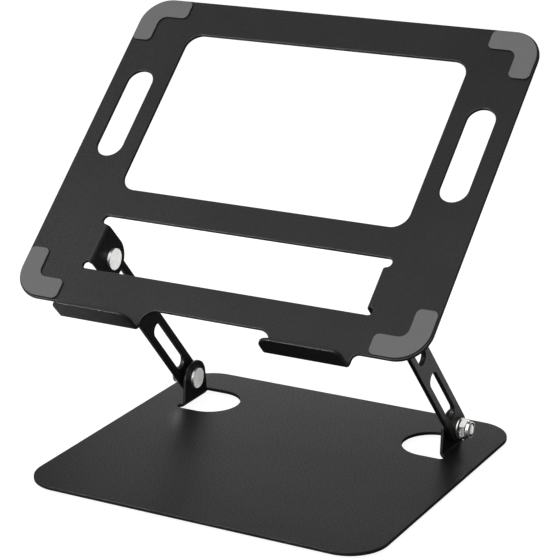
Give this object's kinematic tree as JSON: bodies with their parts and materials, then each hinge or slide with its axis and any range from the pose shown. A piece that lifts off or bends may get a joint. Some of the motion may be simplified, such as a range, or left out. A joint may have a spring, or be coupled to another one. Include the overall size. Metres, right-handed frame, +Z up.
{
  "type": "laptop stand",
  "caption": "Folding laptop stand: a flat steel base, slotted arms and a tilting steel platform with a window, corner pads and front hooks.",
  "frame": {"origin": "On the desk, under the middle of the base plate", "axes": "+Z up, +X along the hinge axes towards the right as the user sees it, +Y away from the user"},
  "size_m": [0.25, 0.191, 0.2384],
  "materials": {
    "base_powder_coat": "fine-textured matt black powder coat on 2 mm steel",
    "platform_powder_coat": "fine-textured matt black powder coat on 2 mm steel",
    "arm_powder_coat": "fine-textured matt black powder coat on 3 mm steel",
    "pad_rubber": "matt mid-grey silicone rubber",
    "foot_rubber": "matt black rubber",
    "bolt_steel": "satin zinc-plated steel",
    "washer_steel": "satin zinc-plated steel",
    "nut_steel": "bright zinc-plated steel",
    "spacer_nylon": "black nylon",
    "insert_nylon": "dark grey nylon"
  },
  "bodies": {
    "base": {"base_plate": "base_powder_coat", "foot_front_left": "foot_rubber", "foot_front_right": "foot_rubber", "foot_back_left": "foot_rubber", "foot_back_right": "foot_rubber", "lower_left_bolt": "bolt_steel", "lower_left_friction_washer": "spacer_nylon", "lower_left_flat_washer": "washer_steel", "lower_left_lock_nut": "nut_steel", "lower_left_nut_insert": "insert_nylon", "lower_right_bolt": "bolt_steel", "lower_right_friction_washer": "spacer_nylon", "lower_right_flat_washer": "washer_steel", "lower_right_lock_nut": "nut_steel", "lower_right_nut_insert": "insert_nylon"},
    "left_arm": {"left_arm": "arm_powder_coat"},
    "right_arm": {"right_arm": "arm_powder_coat"},
    "upper_hinge": {"upper_left_bolt": "bolt_steel", "upper_left_friction_washer": "spacer_nylon", "upper_left_flat_washer": "washer_steel", "upper_left_lock_nut": "nut_steel", "upper_left_nut_insert": "insert_nylon", "upper_right_bolt": "bolt_steel", "upper_right_friction_washer": "spacer_nylon", "upper_right_flat_washer": "washer_steel", "upper_right_lock_nut": "nut_steel", "upper_right_nut_insert": "insert_nylon"},
    "platform": {"platform": "platform_powder_coat", "pad_front_left": "pad_rubber", "pad_front_right": "pad_rubber", "pad_back_left": "pad_rubber", "pad_back_right": "pad_rubber"}
  },
  "joints": [
    {"name": "left_arm_fold", "type": "hinge", "parent": "base", "child": "left_arm", "pos_m": [-0.0882, 0.053, 0.0168], "axis": [1, 0, 0], "range_deg": [-45, 50.1]},
    {"name": "right_arm_fold", "type": "hinge", "parent": "base", "child": "right_arm", "pos_m": [0.0882, 0.053, 0.0168], "axis": [1, 0, 0], "range_deg": [-45, 50.1]},
    {"name": "upper_hinge_turn", "type": "hinge", "parent": "left_arm", "child": "upper_hinge", "pos_m": [-0.0882, -0.02975, 0.11576], "axis": [1, 0, 0], "range_deg": [-72, 65]},
    {"name": "platform_tilt", "type": "hinge", "parent": "upper_hinge", "child": "platform", "pos_m": [0, -0.02975, 0.11576], "axis": [1, 0, 0], "range_deg": [-21, 13]}
  ],
  "couplings": [
    {"joint": "right_arm_fold", "follows": "left_arm_fold", "ratio": 1},
    {"joint": "upper_hinge_turn", "follows": "left_arm_fold", "ratio": -1.431}
  ]
}
